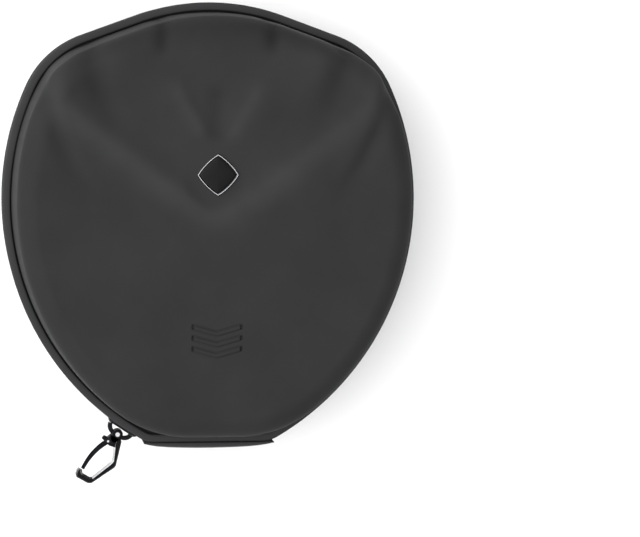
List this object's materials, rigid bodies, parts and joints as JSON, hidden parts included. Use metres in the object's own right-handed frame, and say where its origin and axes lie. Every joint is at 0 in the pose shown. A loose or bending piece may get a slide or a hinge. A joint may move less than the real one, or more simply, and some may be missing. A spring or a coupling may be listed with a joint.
{
  "type": "headphone carrying case",
  "caption": "Hard clamshell headphone case with a zip round the rim, a fabric hinge and a snap clip puller on the zip slider.",
  "frame": {"origin": "middle of the flat back face the case lies on", "axes": "+Z out of the front (lid) face, +Y towards the rounded crown, hinge along X at -Y"},
  "size_m": [0.1856, 0.2181, 0.0896],
  "materials": {
    "shell_skin": "smooth matt coated fabric",
    "eva_foam": "moulded foam",
    "lining_fleece": "brushed knit",
    "binding_fabric": "woven",
    "tape_fabric": "woven",
    "zipper_coil": "nylon coil",
    "hinge_fabric": "woven",
    "badge_chrome": "polished",
    "badge_black": "gloss",
    "nut_steel": "spring steel",
    "pocket_mesh": "open net",
    "pocket_elastic": "ribbed elastic",
    "stop_metal": "black",
    "slider_metal": "black",
    "clip_metal": "black nickel",
    "gate_metal": "black nickel",
    "pin_steel": "steel"
  },
  "bodies": {
    "back": {"back_outer_skin": "shell_skin", "back_foam_shell": "eva_foam", "back_lining": "lining_fleece", "back_rim_binding": "binding_fabric", "back_zipper_tape": "tape_fabric", "back_zipper_teeth": "zipper_coil", "back_hinge_leaf": "hinge_fabric", "zipper_stops": "stop_metal"},
    "lid": {"front_outer_skin": "shell_skin", "front_foam_shell": "eva_foam", "front_lining": "lining_fleece", "front_rim_binding": "binding_fabric", "front_zipper_tape": "tape_fabric", "front_zipper_teeth": "zipper_coil", "front_hinge_leaf": "hinge_fabric", "badge_bezel": "badge_chrome", "badge_insert": "badge_black", "badge_push_nuts": "nut_steel", "lid_pocket_net": "pocket_mesh", "lid_pocket_elastic": "pocket_elastic"},
    "slider": {"slider_body": "slider_metal", "slider_lug": "slider_metal", "puller_pin": "pin_steel"},
    "puller": {"clip_frame": "clip_metal", "gate_pin": "pin_steel", "gate_spring": "pin_steel"},
    "gate": {"clip_gate": "gate_metal"}
  },
  "joints": [
    {"name": "lid_hinge", "type": "hinge", "parent": "back", "child": "lid", "pos_m": [0, -0.10217, 0.044], "axis": [1, 0, 0], "range_deg": [0, 180]},
    {"name": "zip_travel", "type": "hinge", "parent": "back", "child": "slider", "pos_m": [0.03115, 0.01012, 0.044], "axis": [0, 0, -1], "range_deg": [0, 75]},
    {"name": "puller_swing", "type": "hinge", "parent": "slider", "child": "puller", "pos_m": [-0.04076, -0.09649, 0.044], "axis": [0, 0, 1], "range_deg": [-35, 5]},
    {"name": "gate_open", "type": "hinge", "parent": "puller", "child": "gate", "pos_m": [-0.04508, -0.09949, 0.044], "axis": [0, 0, 1], "range_deg": [0, 15], "stiffness_Nm_per_rad": 0.0005}
  ]
}
